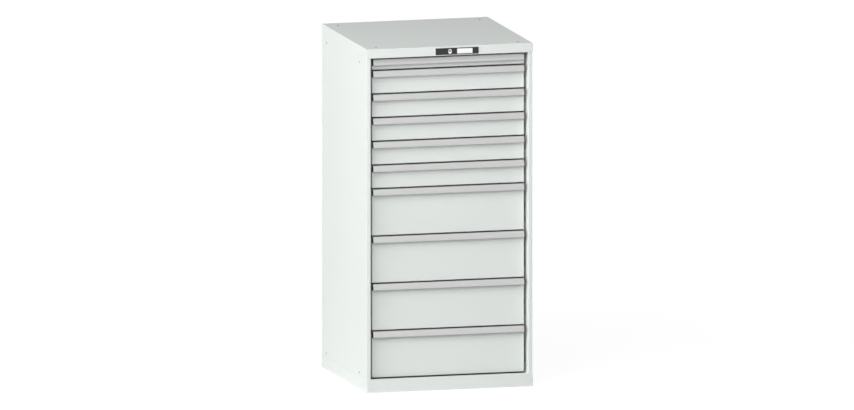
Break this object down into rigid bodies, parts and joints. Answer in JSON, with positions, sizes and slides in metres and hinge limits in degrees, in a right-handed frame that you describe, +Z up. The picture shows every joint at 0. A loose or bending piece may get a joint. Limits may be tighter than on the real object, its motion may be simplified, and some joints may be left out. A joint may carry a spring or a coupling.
{
  "type": "drawer cabinet",
  "caption": "Steel tool cabinet on a closed base, with full-extension drawers of several heights, full-width pull rails and a central lock in the cover.",
  "frame": {"origin": "under the middle of the cabinet, on the surface it stands on, with all drawers shut", "axes": "+Z up, +X to the right seen from the front, -Y the way the drawers open"},
  "size_m": [0.717, 0.73, 1.45],
  "materials": {
    "light_grey_paint": "smooth light grey powder coat",
    "zinc_steel": "bright zinc-plated steel",
    "dark_steel": "black phosphated steel sheet",
    "satin_aluminium": "satin anodised aluminium",
    "black_plastic": "fine-grained black plastic",
    "white_card": "plain white card",
    "clear_plastic": "clear plastic window",
    "bright_metal": "bright nickel-plated metal"
  },
  "bodies": {
    "housing": {"top_cover": "light_grey_paint", "left_side_panel": "light_grey_paint", "right_side_panel": "light_grey_paint", "rear_panel": "light_grey_paint", "base_frame": "light_grey_paint", "floor_panel": "dark_steel", "uprights": "zinc_steel", "cabinet_rails": "zinc_steel", "housing_screws": "zinc_steel", "rear_rivets": "zinc_steel", "lock_plate": "black_plastic", "label_card": "white_card", "label_window": "clear_plastic", "lock_barrel": "bright_metal", "lock_brackets": "zinc_steel"},
    "drawer_01": {"drawer_01_tray": "light_grey_paint", "drawer_01_front": "light_grey_paint", "drawer_01_handle": "satin_aluminium"},
    "slides_01": {"drawer_01_slides": "zinc_steel"},
    "drawer_02": {"drawer_02_tray": "light_grey_paint", "drawer_02_front": "light_grey_paint", "drawer_02_handle": "satin_aluminium"},
    "slides_02": {"drawer_02_slides": "zinc_steel"},
    "drawer_03": {"drawer_03_tray": "light_grey_paint", "drawer_03_front": "light_grey_paint", "drawer_03_handle": "satin_aluminium"},
    "slides_03": {"drawer_03_slides": "zinc_steel"},
    "drawer_04": {"drawer_04_tray": "light_grey_paint", "drawer_04_front": "light_grey_paint", "drawer_04_handle": "satin_aluminium"},
    "slides_04": {"drawer_04_slides": "zinc_steel"},
    "drawer_05": {"drawer_05_tray": "light_grey_paint", "drawer_05_front": "light_grey_paint", "drawer_05_handle": "satin_aluminium"},
    "slides_05": {"drawer_05_slides": "zinc_steel"},
    "drawer_06": {"drawer_06_tray": "light_grey_paint", "drawer_06_front": "light_grey_paint", "drawer_06_handle": "satin_aluminium"},
    "slides_06": {"drawer_06_slides": "zinc_steel"},
    "drawer_07": {"drawer_07_tray": "light_grey_paint", "drawer_07_front": "light_grey_paint", "drawer_07_handle": "satin_aluminium"},
    "slides_07": {"drawer_07_slides": "zinc_steel"},
    "drawer_08": {"drawer_08_tray": "light_grey_paint", "drawer_08_front": "light_grey_paint", "drawer_08_handle": "satin_aluminium"},
    "slides_08": {"drawer_08_slides": "zinc_steel"},
    "drawer_09": {"drawer_09_tray": "light_grey_paint", "drawer_09_front": "light_grey_paint", "drawer_09_handle": "satin_aluminium"},
    "slides_09": {"drawer_09_slides": "zinc_steel"},
    "drawer_10": {"drawer_10_tray": "light_grey_paint", "drawer_10_front": "light_grey_paint", "drawer_10_handle": "satin_aluminium"},
    "slides_10": {"drawer_10_slides": "zinc_steel"},
    "lock": {"lock_plug": "bright_metal", "lock_shaft": "zinc_steel", "lock_crank": "zinc_steel"},
    "locking_bar": {"locking_bar": "zinc_steel"}
  },
  "joints": [
    {"name": "drawer_01_slide", "type": "slide", "parent": "housing", "child": "drawer_01", "axis": [0, -1, 0], "range_m": [0, 0.6]},
    {"name": "slides_01_run", "type": "slide", "parent": "housing", "child": "slides_01", "axis": [0, -1, 0], "range_m": [0, 0.3]},
    {"name": "drawer_02_slide", "type": "slide", "parent": "housing", "child": "drawer_02", "axis": [0, -1, 0], "range_m": [0, 0.6]},
    {"name": "slides_02_run", "type": "slide", "parent": "housing", "child": "slides_02", "axis": [0, -1, 0], "range_m": [0, 0.3]},
    {"name": "drawer_03_slide", "type": "slide", "parent": "housing", "child": "drawer_03", "axis": [0, -1, 0], "range_m": [0, 0.6]},
    {"name": "slides_03_run", "type": "slide", "parent": "housing", "child": "slides_03", "axis": [0, -1, 0], "range_m": [0, 0.3]},
    {"name": "drawer_04_slide", "type": "slide", "parent": "housing", "child": "drawer_04", "axis": [0, -1, 0], "range_m": [0, 0.6]},
    {"name": "slides_04_run", "type": "slide", "parent": "housing", "child": "slides_04", "axis": [0, -1, 0], "range_m": [0, 0.3]},
    {"name": "drawer_05_slide", "type": "slide", "parent": "housing", "child": "drawer_05", "axis": [0, -1, 0], "range_m": [0, 0.6]},
    {"name": "slides_05_run", "type": "slide", "parent": "housing", "child": "slides_05", "axis": [0, -1, 0], "range_m": [0, 0.3]},
    {"name": "drawer_06_slide", "type": "slide", "parent": "housing", "child": "drawer_06", "axis": [0, -1, 0], "range_m": [0, 0.6]},
    {"name": "slides_06_run", "type": "slide", "parent": "housing", "child": "slides_06", "axis": [0, -1, 0], "range_m": [0, 0.3]},
    {"name": "drawer_07_slide", "type": "slide", "parent": "housing", "child": "drawer_07", "axis": [0, -1, 0], "range_m": [0, 0.6]},
    {"name": "slides_07_run", "type": "slide", "parent": "housing", "child": "slides_07", "axis": [0, -1, 0], "range_m": [0, 0.3]},
    {"name": "drawer_08_slide", "type": "slide", "parent": "housing", "child": "drawer_08", "axis": [0, -1, 0], "range_m": [0, 0.6]},
    {"name": "slides_08_run", "type": "slide", "parent": "housing", "child": "slides_08", "axis": [0, -1, 0], "range_m": [0, 0.3]},
    {"name": "drawer_09_slide", "type": "slide", "parent": "housing", "child": "drawer_09", "axis": [0, -1, 0], "range_m": [0, 0.6]},
    {"name": "slides_09_run", "type": "slide", "parent": "housing", "child": "slides_09", "axis": [0, -1, 0], "range_m": [0, 0.3]},
    {"name": "drawer_10_slide", "type": "slide", "parent": "housing", "child": "drawer_10", "axis": [0, -1, 0], "range_m": [0, 0.6]},
    {"name": "slides_10_run", "type": "slide", "parent": "housing", "child": "slides_10", "axis": [0, -1, 0], "range_m": [0, 0.3]},
    {"name": "locking_bar_shift", "type": "slide", "parent": "housing", "child": "locking_bar", "axis": [1, 0, 0], "range_m": [0, 0.007]},
    {"name": "lock_turn", "type": "hinge", "parent": "housing", "child": "lock", "pos_m": [0, -0.365, 1.431], "axis": [0, 1, 0], "range_deg": [0, 90]}
  ],
  "couplings": [
    {"joint": "slides_01_run", "follows": "drawer_01_slide", "ratio": 0.5},
    {"joint": "slides_02_run", "follows": "drawer_02_slide", "ratio": 0.5},
    {"joint": "slides_03_run", "follows": "drawer_03_slide", "ratio": 0.5},
    {"joint": "slides_04_run", "follows": "drawer_04_slide", "ratio": 0.5},
    {"joint": "slides_05_run", "follows": "drawer_05_slide", "ratio": 0.5},
    {"joint": "slides_06_run", "follows": "drawer_06_slide", "ratio": 0.5},
    {"joint": "slides_07_run", "follows": "drawer_07_slide", "ratio": 0.5},
    {"joint": "slides_08_run", "follows": "drawer_08_slide", "ratio": 0.5},
    {"joint": "slides_09_run", "follows": "drawer_09_slide", "ratio": 0.5},
    {"joint": "slides_10_run", "follows": "drawer_10_slide", "ratio": 0.5},
    {"joint": "lock_turn", "follows": "locking_bar_shift", "rad_per_m": 224.4}
  ]
}
